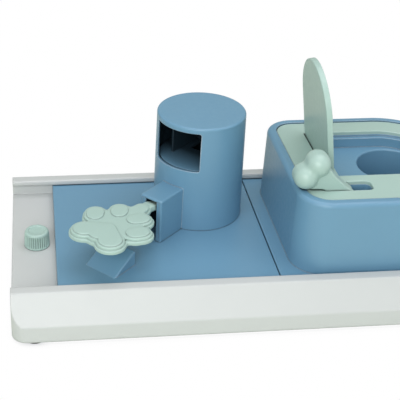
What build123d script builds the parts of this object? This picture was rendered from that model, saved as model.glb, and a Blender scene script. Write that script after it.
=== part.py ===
from build123d import *

import os
from math import radians, tan

# Dog puzzle feeder: a grooved tray that holds two treat modules between two thumb knobs.
# Units are millimetres. X runs along the tray, Y from front to back, Z up. The origin is on
# the floor below the middle of the tray, under the seam between the modules.

# ---- tray -----------------------------------------------------------------
tray_length = 455.0
tray_depth = 230.0
tray_corner_radius = 13.0
foot_height = 3.0
rail_wall_height = 14.3
rail_wall_lean = 0.7
rail_height = 36.4
rail_slope_run = 17.3
rail_edge_radius = 1.5
wall_edge_radius = 2.0
lip_width = 10.0
lip_thickness = 4.8
groove_depth = 4.0
floor_height = 20.0
tray_wall = 2.6
rib_thickness = 2.2
rib_height = 10.0
rib_bolt_gap = 19.0
rib_count = 7
long_rib_spacing = 92.0
foot_diameter = 16.0
foot_edge_radius = 0.8
foot_stem_diameter = 6.0
foot_stem_length = 7.0
foot_inset_x = 19.0
foot_inset_y = 11.5
boss_wall = 3.0

# ---- thumb knobs ----------------------------------------------------------
knob_diameter = 23.0
knob_height = 15.0
knob_draft = 2.7
knob_edge_radius = 1.6
knob_flutes = 32
knob_flute_radius = 0.8
knob_flute_depth = 1.1
knob_ring_height = 1.3
knob_crown_height = 2.2
knob_inset = 22.5
bolt_diameter = 6.0
bolt_head_diameter = 13.0
bolt_head_height = 2.8
bolt_edge_radius = 0.8
bolt_engagement = 10.0

# ---- shared fits ----------------------------------------------------------
slide_gap = 0.4
running_gap = 0.05
rest_gap = 0.2
floor_gap = 0.1
screw_diameter = 3.0
screw_head_diameter = 5.6
screw_head_height = 2.0
screw_engagement = 10.0

# ---- module plates --------------------------------------------------------
plate_end_gap = 4.8
plate_thickness = 10.7
plate_skin = 2.6
plate_edge_radius = 1.2
plate_rib_pitch = 46.0
plate_rib_count = 3
seam_gap = 0.6

# ---- treat tower with its chute -------------------------------------------
tower_x = -54.0
tower_y = 36.0
tower_foot_diameter = 82.4
tower_height = 102.2
tower_draft = 0.67
tower_wall = 2.4
tower_edge_radius = 2.0
window_sill = 59.9
window_height = 37.3
window_width = 47.0
window_corner_radius = 2.0
chute_reach = 71.0
chute_width = 23.0
chute_height = 42.2
chute_wall = 2.3
chute_edge_radius = 1.6
tower_boss_diameter = 8.0
tower_boss_height = 14.0
tower_boss_reach = 35.0
tower_boss_turn = 45.0

# ---- hopper inside the tower ----------------------------------------------
hopper_radius = 36.8
hopper_floor = 2.2
hopper_wall = 1.8
hopper_half_width = 20.0
hopper_cheek_height = 28.0
hopper_cheek_start = 16.5
hopper_cheek_length = 40.0
drop_start = -2.0
drop_length = 20.0
drop_width = 24.0
hopper_leg_diameter = 5.0
hopper_leg_reach = 33.0
hopper_leg_spread = 40.0

# ---- pedal, its axle and its return spring --------------------------------
pivot_reach = 30.0
pivot_height = 31.2
axle_diameter = 3.0
pivot_boss_diameter = 8.0
post_width = 8.0
post_thickness = 3.0
post_gap = 0.6
arm_width = 11.0
arm_height = 7.0
arm_reach = 81.0
tab_start = 74.0
tab_reach = 108.0
tab_width = 18.0
tab_thickness = 4.0
pan_width = 26.0
pan_start = 8.0
pan_length = 32.0
pan_skin = 2.0
pan_rim = 5.0
pan_rise = 1.7
spine_width = 5.0
spine_height = 4.0
spring_tab_length = 8.0
spring_tab_width = 10.0
spring_diameter = 6.4
spring_wire = 0.8
spring_turns = 5
spring_peg_diameter = 4.0
spring_peg_height = 3.0
pan_rest_width = 6.0
pan_rest_reach = -14.0

# ---- paw ------------------------------------------------------------------
paw_bottom = 33.0
paw_base_thickness = 3.4
paw_step_thickness = 2.3
paw_step_inset = 1.9
paw_pad_height = 0.8
toe_inner = (101.7, 11.0)
toe_outer = (118.2, 24.0)
toe_turn = 162.0
toe_pad_length = 22.4
toe_pad_width = 14.2
pad_margin = 4.6
heel_apex_reach = 129.5
heel_apex_radius = 8.0
heel_lobe = (139.5, 12.0)
heel_lobe_radius = 8.5
heel_blend_radius = 25.0
paw_blend_radius = 4.0
paw_edge_radius = 1.0
paw_step_radius = 0.8
paw_pad_radius = 0.5
paw_screw_start = 93.0
paw_screw_spacing = 10.0

# ---- wedge stop under the paw ---------------------------------------------
stop_reach = 111.3
stop_height = 15.2
stop_length = 28.0
stop_width = 33.0
stop_edge_radius = 1.5
stop_wall = 2.2

# ---- lidded box: housing, tray and cover ----------------------------------
box_seam_margin = 12.5
box_end_margin = 7.7
box_rail_gap = 4.5
box_draft = 1.1
box_height = 68.7
box_wall = 2.6
box_left_radius = 28.0
box_right_radius = 62.0
box_edge_radius = 4.0
rim_width = 8.6
rim_rise = 1.0
cover_thickness = 3.3
cover_gap = 0.4
cover_edge_radius = 0.8
flange_thickness = 2.4
ledge_width = 6.0
ledge_thickness = 2.6
opening_seam_margin = 34.7
opening_end_margin = 24.0
opening_back_margin = 30.5
opening_slot_gap = 10.5
opening_corner_radius = 1.5
lid_ledge_width = 4.0
hinge_well_length = 19.0
basin_depth = 14.5
insert_wall = 2.2
pin_wall = 3.0
cup_end_margin = 37.0
cup_side_margin = 10.5
cup_depth = 42.0
cup_edge_radius = 1.5
cup_foot_radius = 6.0
slot_back_reach = 22.0
slot_front_reach = 23.6
slot_front_margin = 26.0
slot_width = 15.0
slot_corner_radius = 4.5
slot_pocket_depth = 17.0
cover_screw_seam_margin = 37.5
cover_screw_end_margin = 66.0

# ---- lid with its bone lever ----------------------------------------------
lid_thickness = 5.0
lid_gap = 0.7
lid_edge_radius = 1.0
lid_open_angle = 98.0
hinge_inset = 9.8
hinge_drop = 8.0
hinge_boss_diameter = 8.0
hinge_pin_diameter = 3.0
hinge_gap = 1.5
lid_heel = 3.0
lobe_radius = 10.2
lobe_length = 5.2
upper_lobe_back = 26.2
upper_lobe_rise = 22.1
lower_lobe_back = 35.9
lobe_gap = 0.3
lever_bar_gap = 0.3
lever_width = 13.4
lever_edge_radius = 3.0
lever_shoulder_back = 13.0
lever_shoulder_rise = 12.0
lever_root_reach = 7.0
lever_heel_radius = 8.0

# ---- derived places -------------------------------------------------------
half_depth = tray_depth / 2
half_length = tray_length / 2
rail_top = foot_height + rail_height
wall_top = foot_height + rail_wall_height
floor_top = foot_height + floor_height
knob_reach = half_length - knob_inset
rib_pitch = 2 * (knob_reach - rib_bolt_gap) / (rib_count - 1)
ridge_y = half_depth - rail_wall_lean - rail_slope_run
lip_y = ridge_y - lip_width
groove_y = lip_y + groove_depth
plate_bottom = floor_top + floor_gap
plate_end = knob_reach - knob_diameter / 2 - plate_end_gap
plate_top = floor_top + plate_thickness
plate_half_width = groove_y - slide_gap
plate_length = plate_end - seam_gap / 2
plate_middle = (plate_end + seam_gap / 2) / 2
skin_bottom = plate_top - plate_skin
window_z = plate_top + window_sill
hopper_top = window_z - rest_gap
hopper_bottom = hopper_top - hopper_floor
knob_flute_reach = knob_diameter / 2 + knob_flute_radius - knob_flute_depth
pivot_z = plate_top + pivot_height
paw_z = plate_top + paw_bottom
pan_floor_z = pivot_z + pivot_boss_diameter / 4
pan_end = pan_start - pan_length
spring_tab_z = pivot_z + spine_height / 4
spring_reach = pan_end - spring_tab_length / 2
box_left = box_seam_margin
box_right = plate_end - box_end_margin
box_half_depth = lip_y - box_rail_gap
box_top = plate_top + box_height
cover_top = box_top - rim_rise
cover_bottom = cover_top - cover_thickness
flange_bottom = cover_bottom - flange_thickness
opening_left = box_left + opening_seam_margin
opening_right = box_right - opening_end_margin
slot_y = slot_front_margin + slot_width / 2 - box_half_depth
opening_front = slot_y + slot_width / 2 + opening_slot_gap
opening_back = box_half_depth - opening_back_margin
opening_centre_y = (opening_front + opening_back) / 2
opening_half_width = (opening_back - opening_front) / 2
cup_x = opening_right - cup_end_margin
cup_diameter = 2 * (opening_half_width - cup_side_margin)
hinge_x = opening_left + hinge_inset
slot_left = hinge_x - slot_back_reach
slot_right = hinge_x + slot_front_reach
cover_inset = box_height * tan(radians(box_draft)) + rim_width
hinge_z = cover_top - hinge_drop
lid_bottom = cover_top - lid_thickness
lid_ledge_z = lid_bottom - rest_gap
basin_floor = cover_top - basin_depth
pocket_floor = cover_top - slot_pocket_depth
lever_front = slot_y - lever_width / 2

# The chute, the paw and the stop lie on one diagonal through the tower's axis: x runs
# outwards along it, and y is across it in tower_plan and upwards in tower_side.
tower_plan = Plane(origin=(tower_x, tower_y, 0), x_dir=(-1, -1, 0), z_dir=(0, 0, 1))
tower_side = Plane(origin=(tower_x, tower_y, 0), x_dir=(-1, -1, 0), z_dir=(-1, 1, 0))
tower_front = Plane(origin=(tower_x, tower_y, 0), x_dir=(1, -1, 0), z_dir=(-1, -1, 0))
outward = Axis((tower_x, tower_y, 0), (-1, -1, 0))
hinge_axis = Axis((hinge_x, 0, hinge_z), (0, 1, 0))
foot_spots = GridLocations(tray_length - 2 * foot_inset_x, tray_depth - 2 * foot_inset_y, 2, 2)
foot_places = [spot.position for spot in foot_spots.locations]
tower_screw_spots = PolarLocations(tower_boss_reach, 4, start_angle=tower_boss_turn)
paw_screw_places = [(paw_screw_start, 0), (paw_screw_start + paw_screw_spacing, 0)]
cover_screw_y = box_half_depth - cover_inset + cover_gap - ledge_width / 2
cover_screw_places = [
    (cover_screw_x, side * cover_screw_y)
    for cover_screw_x in (box_left + cover_screw_seam_margin, box_right - cover_screw_end_margin)
    for side in (-1, 1)
]
os.makedirs("parts", exist_ok=True)


def save(builder, name):
    """Label a finished piece and write its STEP file."""
    builder.part.label = name
    export_step(builder.part, f"parts/{name}.step")


# ---- tray -----------------------------------------------------------------
# The hollow under the tray: its walls follow the rails, round the bosses and the ribs.
with BuildPart() as tray_hollow:
    with BuildSketch(Plane.YZ.offset(-half_length + tray_wall)):
        with BuildLine():
            Polyline(
                (0, foot_height),
                (half_depth, foot_height),
                (half_depth - rail_wall_lean, wall_top),
                (ridge_y, rail_top),
                (0, rail_top),
            )
            mirror(about=Plane.YZ)
        make_face()
        offset(amount=-tray_wall)
        with Locations((0, foot_height)):
            Rectangle(2 * (half_depth - tray_wall), 3 * tray_wall)
        with Locations((0, rail_top)):
            Rectangle(
                2 * (groove_y + tray_wall),
                2 * (rail_top - floor_top + tray_wall),
                mode=Mode.SUBTRACT,
            )
    extrude(amount=tray_length - 2 * tray_wall)
    with BuildSketch():
        RectangleRounded(
            tray_length - 2 * tray_wall, tray_depth - 2 * tray_wall, tray_corner_radius - tray_wall
        )
    extrude(amount=rail_top, mode=Mode.INTERSECT)
    with BuildSketch(Plane.XY.offset(foot_height)):
        with Locations(*foot_places):
            Circle(foot_stem_diameter / 2 + boss_wall)
    extrude(amount=rail_height, mode=Mode.SUBTRACT)
    with BuildSketch(Plane.XY.offset(floor_top - tray_wall - rib_height)):
        with GridLocations(rib_pitch, 1, rib_count, 1):
            Rectangle(rib_thickness, tray_depth)
        with GridLocations(1, long_rib_spacing, 1, 2):
            Rectangle(tray_length, rib_thickness)
    extrude(amount=rail_height, mode=Mode.SUBTRACT)

with BuildPart() as base_tray:
    with BuildSketch(Plane.YZ.offset(-half_length)):
        with BuildLine():
            Polyline(
                (0, foot_height),
                (half_depth, foot_height),
                (half_depth - rail_wall_lean, wall_top),
                (ridge_y, rail_top),
                (lip_y, rail_top),
                (lip_y, rail_top - lip_thickness),
                (groove_y, rail_top - lip_thickness),
                (groove_y, floor_top),
                (0, floor_top),
            )
            mirror(about=Plane.YZ)
        make_face()
    extrude(amount=tray_length)
    rail_edges = base_tray.edges().filter_by(Axis.X)
    fillet(rail_edges.group_by(Axis.Z)[-1], rail_edge_radius)
    fillet(rail_edges.group_by(Axis.Z)[1], wall_edge_radius)
    with BuildSketch():
        RectangleRounded(tray_length, tray_depth, tray_corner_radius)
    extrude(amount=rail_top, mode=Mode.INTERSECT)
    add(tray_hollow.part, mode=Mode.SUBTRACT)
    with BuildSketch(Plane.XY.offset(foot_height)):
        with Locations(*foot_places):
            Circle(foot_stem_diameter / 2 + running_gap)
    extrude(amount=foot_stem_length + rest_gap, mode=Mode.SUBTRACT)
    with BuildSketch(Plane.XY.offset(floor_top)):
        with GridLocations(2 * knob_reach, 1, 2, 1):
            Circle(bolt_diameter / 2 + running_gap)
    extrude(amount=-tray_wall, mode=Mode.SUBTRACT)
save(base_tray, "base_tray")

# Rubber feet with plug stems, one under each corner.
for number, place in enumerate(foot_places, start=1):
    with BuildPart() as rubber_foot:
        with BuildSketch():
            with Locations(place):
                Circle(foot_diameter / 2)
        extrude(amount=foot_height)
        fillet(rubber_foot.edges().group_by(Axis.Z)[0], foot_edge_radius)
        with BuildSketch(Plane.XY.offset(foot_height)):
            with Locations(place):
                Circle(foot_stem_diameter / 2)
        extrude(amount=foot_stem_length)
    save(rubber_foot, f"rubber_foot_{number}")

# ---- thumb knobs and their bolts ------------------------------------------
for side, knob_x in (("left", -knob_reach), ("right", knob_reach)):
    with BuildPart() as knob:
        with BuildSketch(Plane.XY.offset(floor_top + rest_gap)):
            with Locations((knob_x, 0)):
                Circle(knob_diameter / 2)
        extrude(amount=knob_height, taper=knob_draft)
        fillet(knob.edges().group_by(Axis.Z)[-1], knob_edge_radius)
        with BuildSketch(Plane.XY.offset(floor_top + rest_gap + knob_ring_height)):
            with Locations((knob_x, 0)):
                with PolarLocations(knob_flute_reach, knob_flutes):
                    Circle(knob_flute_radius)
        extrude(amount=knob_height - knob_ring_height - knob_crown_height, mode=Mode.SUBTRACT)
        with BuildSketch(Plane.XY.offset(floor_top + rest_gap)):
            with Locations((knob_x, 0)):
                Circle(bolt_diameter / 2 + running_gap)
        extrude(amount=bolt_engagement, mode=Mode.SUBTRACT)
    save(knob, f"knob_{side}")

    with BuildPart() as knob_bolt:
        with BuildSketch(Plane.XY.offset(floor_top - tray_wall)):
            with Locations((knob_x, 0)):
                Circle(bolt_head_diameter / 2)
        extrude(amount=-bolt_head_height)
        fillet(knob_bolt.edges().group_by(Axis.Z)[0], bolt_edge_radius)
        with BuildSketch(Plane.XY.offset(floor_top - tray_wall)):
            with Locations((knob_x, 0)):
                Circle(bolt_diameter / 2)
        extrude(amount=tray_wall + bolt_engagement)
    save(knob_bolt, f"knob_bolt_{side}")


# ---- tower module ---------------------------------------------------------
def plate_hollow(middle):
    """Hollow below a module's plate, with its cross ribs left in."""
    with BuildPart() as hollow:
        with BuildSketch(Plane.XY.offset(plate_bottom)):
            with Locations((middle, 0)):
                Rectangle(plate_length - 2 * plate_skin, 2 * (plate_half_width - plate_skin))
                with GridLocations(plate_rib_pitch, 1, plate_rib_count, 1):
                    Rectangle(rib_thickness, tray_depth, mode=Mode.SUBTRACT)
        extrude(amount=skin_bottom - plate_bottom)
    return hollow.part


def stop_outline(foot):
    """Side of the wedge, from the given height up, highest next to the tower."""
    with BuildSketch() as outline:
        with BuildLine():
            Polyline(
                (stop_reach, foot),
                (stop_reach, plate_top + stop_height),
                (stop_reach + stop_length, plate_top),
                (stop_reach + stop_length, foot),
                close=True,
            )
        make_face()
        if foot < skin_bottom:
            offset(amount=-stop_wall)
    return outline.sketch


# Wedge under the paw: it stops the pedal and turns rolling treats aside.
with BuildPart() as wedge:
    with BuildSketch(tower_side):
        add(stop_outline(skin_bottom))
    extrude(amount=stop_width / 2, both=True)
    fillet(wedge.edges().filter_by(lambda edge: edge.center().Z > plate_top), stop_edge_radius)

with BuildPart() as wedge_hollow:
    with BuildSketch(tower_side):
        add(stop_outline(skin_bottom - stop_wall))
    extrude(amount=stop_width / 2 - stop_wall, both=True)

with BuildPart() as tower_plate:
    with BuildSketch(Plane.XY.offset(plate_bottom)):
        with Locations((-plate_middle, 0)):
            Rectangle(plate_length, 2 * plate_half_width)
    extrude(amount=plate_top - plate_bottom)
    fillet(tower_plate.edges().group_by(Axis.Z)[-1], plate_edge_radius)
    add(plate_hollow(-plate_middle), mode=Mode.SUBTRACT)
    add(wedge.part)
    add(wedge_hollow.part, mode=Mode.SUBTRACT)
    # Posts that carry the pedal's axle, one on each side of it.
    with BuildSketch(tower_side):
        with Locations((pivot_reach, (skin_bottom + pivot_z) / 2)):
            Rectangle(post_width, pivot_z - skin_bottom)
        with Locations((pivot_reach, pivot_z)):
            Circle(post_width / 2)
    extrude(amount=pan_width / 2 + post_gap + post_thickness, both=True)
    with BuildSketch(tower_side.offset(-pan_width / 2 - post_gap)):
        with Locations((pivot_reach, pivot_z)):
            Rectangle(2 * post_width, 2 * (pivot_z - plate_top))
    extrude(amount=pan_width + 2 * post_gap, mode=Mode.SUBTRACT)
    with BuildSketch(tower_side):
        with Locations((pivot_reach, pivot_z)):
            Circle(axle_diameter / 2 + running_gap)
    extrude(amount=tower_foot_diameter / 2, both=True, mode=Mode.SUBTRACT)
    # Rest under the pan: it holds the paw level until it is pressed.
    with BuildSketch(tower_plan.offset(skin_bottom)):
        with Locations((pan_rest_reach, 0)):
            Rectangle(pan_rest_width, pan_rest_width)
    extrude(amount=pivot_z - spine_height / 2 - rest_gap - skin_bottom)
    with BuildSketch(tower_plan.offset(skin_bottom)):
        with tower_screw_spots:
            Circle(screw_diameter / 2 + running_gap)
    extrude(amount=plate_skin, mode=Mode.SUBTRACT)
save(tower_plate, "tower_plate")

with BuildPart() as chute:
    with BuildSketch(tower_plan.offset(plate_top)):
        with Locations((chute_reach / 2, 0)):
            Rectangle(chute_reach, chute_width)
    extrude(amount=chute_height)
    fillet(chute.edges().filter_by(Axis.Z).sort_by(outward)[-2:], chute_edge_radius)
    fillet(chute.edges().group_by(Axis.Z)[-1], chute_edge_radius)

with BuildPart() as treat_tower:
    with BuildSketch(Plane.XY.offset(plate_top)):
        with Locations((tower_x, tower_y)):
            Circle(tower_foot_diameter / 2)
    extrude(amount=tower_height, taper=tower_draft)
    fillet(treat_tower.edges().group_by(Axis.Z)[-1], tower_edge_radius)
    add(chute.part)
    with BuildSketch(Plane.XY.offset(plate_top)):
        with Locations((tower_x, tower_y)):
            Circle(tower_foot_diameter / 2 - tower_wall)
    extrude(amount=tower_height - tower_wall, taper=tower_draft, mode=Mode.SUBTRACT)
    with BuildSketch(tower_plan.offset(plate_top)):
        with Locations((chute_reach / 2, 0)):
            Rectangle(chute_reach, chute_width - 2 * chute_wall)
    extrude(amount=chute_height - chute_wall, mode=Mode.SUBTRACT)
    with BuildSketch(tower_front.offset(hopper_half_width)):
        with Locations((0, window_z + window_height / 2)):
            RectangleRounded(window_width, window_height, window_corner_radius)
    extrude(amount=tower_foot_diameter / 2, mode=Mode.SUBTRACT)
    # Screw bosses against the inside of the wall.
    with BuildSketch(tower_plan.offset(plate_top)):
        with tower_screw_spots:
            Circle(tower_boss_diameter / 2)
            Circle(screw_diameter / 2 + running_gap, mode=Mode.SUBTRACT)
    extrude(amount=tower_boss_height)
save(treat_tower, "treat_tower")

with BuildPart() as tower_screws:
    with BuildSketch(tower_plan.offset(skin_bottom)):
        with tower_screw_spots:
            Circle(screw_head_diameter / 2)
    extrude(amount=-screw_head_height)
    with BuildSketch(tower_plan.offset(skin_bottom)):
        with tower_screw_spots:
            Circle(screw_diameter / 2)
    extrude(amount=plate_skin + screw_engagement)
save(tower_screws, "tower_screws")

with BuildPart() as treat_hopper:
    with BuildSketch(tower_plan.offset(hopper_bottom)):
        Circle(hopper_radius)
        with Locations((drop_start - drop_length / 2, 0)):
            Rectangle(drop_length, drop_width, mode=Mode.SUBTRACT)
    extrude(amount=hopper_floor)
    # Cheeks on both sides and a wall behind, round the drop hole.
    with BuildSketch(tower_plan.offset(hopper_top)):
        with Locations((hopper_cheek_start - hopper_cheek_length / 2, 0)):
            Rectangle(hopper_cheek_length, 2 * hopper_half_width)
        with Locations((hopper_cheek_start - (hopper_cheek_length - hopper_wall) / 2 + hopper_wall, 0)):
            Rectangle(
                hopper_cheek_length + hopper_wall,
                2 * (hopper_half_width - hopper_wall),
                mode=Mode.SUBTRACT,
            )
    extrude(amount=hopper_cheek_height)
    with BuildSketch(tower_plan.offset(plate_top)):
        with PolarLocations(hopper_leg_reach, 2, start_angle=90):
            Circle(hopper_leg_diameter / 2)
        with PolarLocations(
            hopper_leg_reach,
            2,
            start_angle=180 - hopper_leg_spread / 2,
            angular_range=hopper_leg_spread,
            endpoint=True,
        ):
            Circle(hopper_leg_diameter / 2)
    extrude(amount=hopper_bottom - plate_top)
save(treat_hopper, "treat_hopper")

# ---- pedal ----------------------------------------------------------------
with BuildPart() as pedal_arm:
    with BuildSketch(tower_side.offset(-pan_width / 2)):
        with Locations((pivot_reach, pivot_z)):
            Circle(pivot_boss_diameter / 2)
    extrude(amount=pan_width)
    with BuildSketch(tower_side):
        with Locations(((pivot_reach + arm_reach) / 2, pivot_z)):
            Rectangle(arm_reach - pivot_reach, arm_height)
    extrude(amount=arm_width / 2, both=True)
    with BuildSketch(tower_side):
        with Locations(((tab_start + tab_reach) / 2, paw_z - tab_thickness / 2)):
            Rectangle(tab_reach - tab_start, tab_thickness)
    extrude(amount=tab_width / 2, both=True)
    with BuildSketch(tower_side):
        with Locations(((pivot_reach + pan_end) / 2, pivot_z)):
            Rectangle(pivot_reach - pan_end, spine_height)
    extrude(amount=spine_width / 2, both=True)
    # Pan that catches the treats: open at its outer end, a little higher at its inner one.
    with BuildSketch(tower_side):
        with BuildLine():
            Polyline(
                (pan_start, pan_floor_z - pan_skin),
                (pan_start, pan_floor_z + pan_rim),
                (pan_end, pan_floor_z + pan_rise + pan_rim),
                (pan_end, pan_floor_z + pan_rise - pan_skin),
                close=True,
            )
        make_face()
    extrude(amount=pan_width / 2, both=True)
    with BuildSketch(tower_side):
        with BuildLine():
            Polyline(
                (pan_start, pan_floor_z),
                (pan_start, pan_floor_z + 2 * pan_rim),
                (pan_end + pan_skin, pan_floor_z + 2 * pan_rim),
                (pan_end + pan_skin, pan_floor_z + pan_rise),
                close=True,
            )
        make_face()
    extrude(amount=pan_width / 2 - pan_skin, both=True, mode=Mode.SUBTRACT)
    # Tab and peg behind the pan for the return spring.
    with BuildSketch(tower_plan.offset(spring_tab_z - pan_skin)):
        with Locations((pan_end - spring_tab_length / 2 + pan_skin / 2, 0)):
            Rectangle(spring_tab_length + pan_skin, spring_tab_width)
    extrude(amount=pan_skin)
    with BuildSketch(tower_plan.offset(spring_tab_z)):
        with Locations((spring_reach, 0)):
            Circle(spring_peg_diameter / 2)
    extrude(amount=spring_peg_height)
    with BuildSketch(tower_side):
        with Locations((pivot_reach, pivot_z)):
            Circle(axle_diameter / 2 + running_gap)
    extrude(amount=pan_width, both=True, mode=Mode.SUBTRACT)
    with BuildSketch(tower_plan.offset(paw_z)):
        with Locations(*paw_screw_places):
            Circle(screw_diameter / 2 + running_gap)
    extrude(amount=-tab_thickness, mode=Mode.SUBTRACT)
save(pedal_arm, "pedal_arm")

with BuildPart() as pedal_axle:
    with BuildSketch(tower_side):
        with Locations((pivot_reach, pivot_z)):
            Circle(axle_diameter / 2)
    extrude(amount=pan_width / 2 + post_gap + post_thickness, both=True)
save(pedal_axle, "pedal_axle")

with BuildPart() as pedal_spring:
    spring_height = hopper_bottom - spring_tab_z - spring_wire - 2 * rest_gap
    coil_radius = (spring_diameter - spring_wire) / 2
    coil_foot = tower_plan.from_local_coords((spring_reach, 0, spring_tab_z + rest_gap + spring_wire / 2))
    with BuildLine():
        coil = Helix(spring_height / spring_turns, spring_height, coil_radius, center=coil_foot)
    with BuildSketch(Plane(origin=coil @ 0, z_dir=coil % 0)):
        Circle(spring_wire / 2)
    sweep(path=coil)
save(pedal_spring, "pedal_spring")


def paw_pads(margin):
    """Four toe pads and a heel pad; with a margin they join and their hollows are blended."""
    heel_halves = []
    for way in (-1, 1):
        with BuildSketch() as heel_half:
            with Locations((heel_apex_reach, 0)):
                Circle(heel_apex_radius + margin)
            with Locations((heel_lobe[0], way * heel_lobe[1])):
                Circle(heel_lobe_radius + margin)
            make_hull()
        heel_halves.append(heel_half.sketch)
    with BuildSketch() as heel:
        add(heel_halves)
        offset(amount=heel_blend_radius - margin)
        offset(amount=margin - heel_blend_radius)
    with BuildSketch() as pads:
        for reach, across in (toe_inner, toe_outer):
            for way in (-1, 1):
                with Locations(Location((reach, way * across, 0), (0, 0, way * toe_turn))):
                    SlotOverall(toe_pad_length + 2 * margin, toe_pad_width + 2 * margin)
        add(heel.sketch)
        if margin > 0:
            offset(amount=paw_blend_radius)
            offset(amount=-paw_blend_radius)
    return pads.sketch


with BuildPart() as paw_plate:
    with BuildSketch(tower_plan.offset(paw_z)):
        add(paw_pads(pad_margin))
    extrude(amount=paw_base_thickness)
    fillet(paw_plate.edges().group_by(Axis.Z)[-1], paw_edge_radius)
    with BuildSketch(tower_plan.offset(paw_z + paw_base_thickness)):
        add(paw_pads(pad_margin - paw_step_inset))
    extrude(amount=paw_step_thickness)
    fillet(paw_plate.edges().group_by(Axis.Z)[-1], paw_step_radius)
    with BuildSketch(tower_plan.offset(paw_z + paw_base_thickness + paw_step_thickness)):
        add(paw_pads(0))
    extrude(amount=paw_pad_height)
    fillet(paw_plate.edges().group_by(Axis.Z)[-1], paw_pad_radius)
    with BuildSketch(tower_plan.offset(paw_z)):
        with Locations(*paw_screw_places):
            Circle(screw_diameter / 2 + running_gap)
    extrude(amount=paw_base_thickness + rest_gap, mode=Mode.SUBTRACT)
save(paw_plate, "paw_plate")

with BuildPart() as paw_screws:
    with BuildSketch(tower_plan.offset(paw_z - tab_thickness)):
        with Locations(*paw_screw_places):
            Circle(screw_head_diameter / 2)
    extrude(amount=-screw_head_height)
    with BuildSketch(tower_plan.offset(paw_z - tab_thickness)):
        with Locations(*paw_screw_places):
            Circle(screw_diameter / 2)
    extrude(amount=tab_thickness + paw_base_thickness)
save(paw_screws, "paw_screws")


# ---- lidded box -----------------------------------------------------------
def box_outline(inset):
    """Plan of the box, drawn inwards from its foot by the inset."""
    with BuildSketch() as outline:
        with Locations(((box_left + box_right) / 2, 0)):
            Rectangle(box_right - box_left - 2 * inset, 2 * (box_half_depth - inset))
        fillet(outline.vertices().group_by(Axis.X)[0], box_left_radius - inset)
        fillet(outline.vertices().group_by(Axis.X)[-1], box_right_radius - inset)
    return outline.sketch


def opening_outline(inset, left=opening_left):
    """Plan of the lid's opening: straight at the hinge, round at the far end."""
    half = opening_half_width - inset
    turn = opening_right - opening_half_width
    with BuildSketch() as outline:
        with BuildLine():
            Polyline(
                (turn, opening_centre_y + half),
                (left, opening_centre_y + half),
                (left, opening_centre_y - half),
                (turn, opening_centre_y - half),
            )
            ThreePointArc(
                (turn, opening_centre_y - half),
                (turn + half, opening_centre_y),
                (turn, opening_centre_y + half),
            )
        make_face()
        fillet(outline.vertices().group_by(Axis.X)[0], opening_corner_radius)
    return outline.sketch


def slot_outline(margin):
    """Plan of the lever's slot, drawn outwards by the margin."""
    with BuildSketch() as outline:
        with Locations(((slot_left + slot_right) / 2, slot_y)):
            RectangleRounded(
                slot_right - slot_left + 2 * margin, slot_width + 2 * margin, slot_corner_radius
            )
    return outline.sketch


with BuildPart() as lid_housing:
    with BuildSketch(Plane.XY.offset(plate_bottom)):
        with Locations((plate_middle, 0)):
            Rectangle(plate_length, 2 * plate_half_width)
    extrude(amount=plate_top - plate_bottom)
    fillet(lid_housing.edges().group_by(Axis.Z)[-1], plate_edge_radius)
    add(plate_hollow(plate_middle), mode=Mode.SUBTRACT)
    with BuildSketch(Plane.XY.offset(plate_top)):
        add(box_outline(0))
    extrude(amount=box_height, taper=box_draft)
    fillet(lid_housing.edges().group_by(Axis.Z)[-1], box_edge_radius)
    with BuildSketch(Plane.XY.offset(plate_bottom)):
        add(box_outline(box_wall))
    extrude(amount=plate_top - plate_bottom, mode=Mode.SUBTRACT)
    with BuildSketch(Plane.XY.offset(plate_top)):
        add(box_outline(box_wall))
    extrude(
        amount=flange_bottom - ledge_thickness - plate_top, taper=box_draft, mode=Mode.SUBTRACT
    )
    # Ledge that carries the flange, and the seat of the cover above it.
    with BuildSketch(Plane.XY.offset(flange_bottom - ledge_thickness)):
        add(box_outline(cover_inset - cover_gap + ledge_width))
    extrude(amount=ledge_thickness, mode=Mode.SUBTRACT)
    with BuildSketch(Plane.XY.offset(flange_bottom)):
        add(box_outline(cover_inset - cover_gap))
    extrude(amount=box_top - flange_bottom, mode=Mode.SUBTRACT)
    with BuildSketch(Plane.XY.offset(flange_bottom)):
        with Locations(*cover_screw_places):
            Circle(screw_diameter / 2 + running_gap)
    extrude(amount=-ledge_thickness, mode=Mode.SUBTRACT)
save(lid_housing, "lid_housing")

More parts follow.
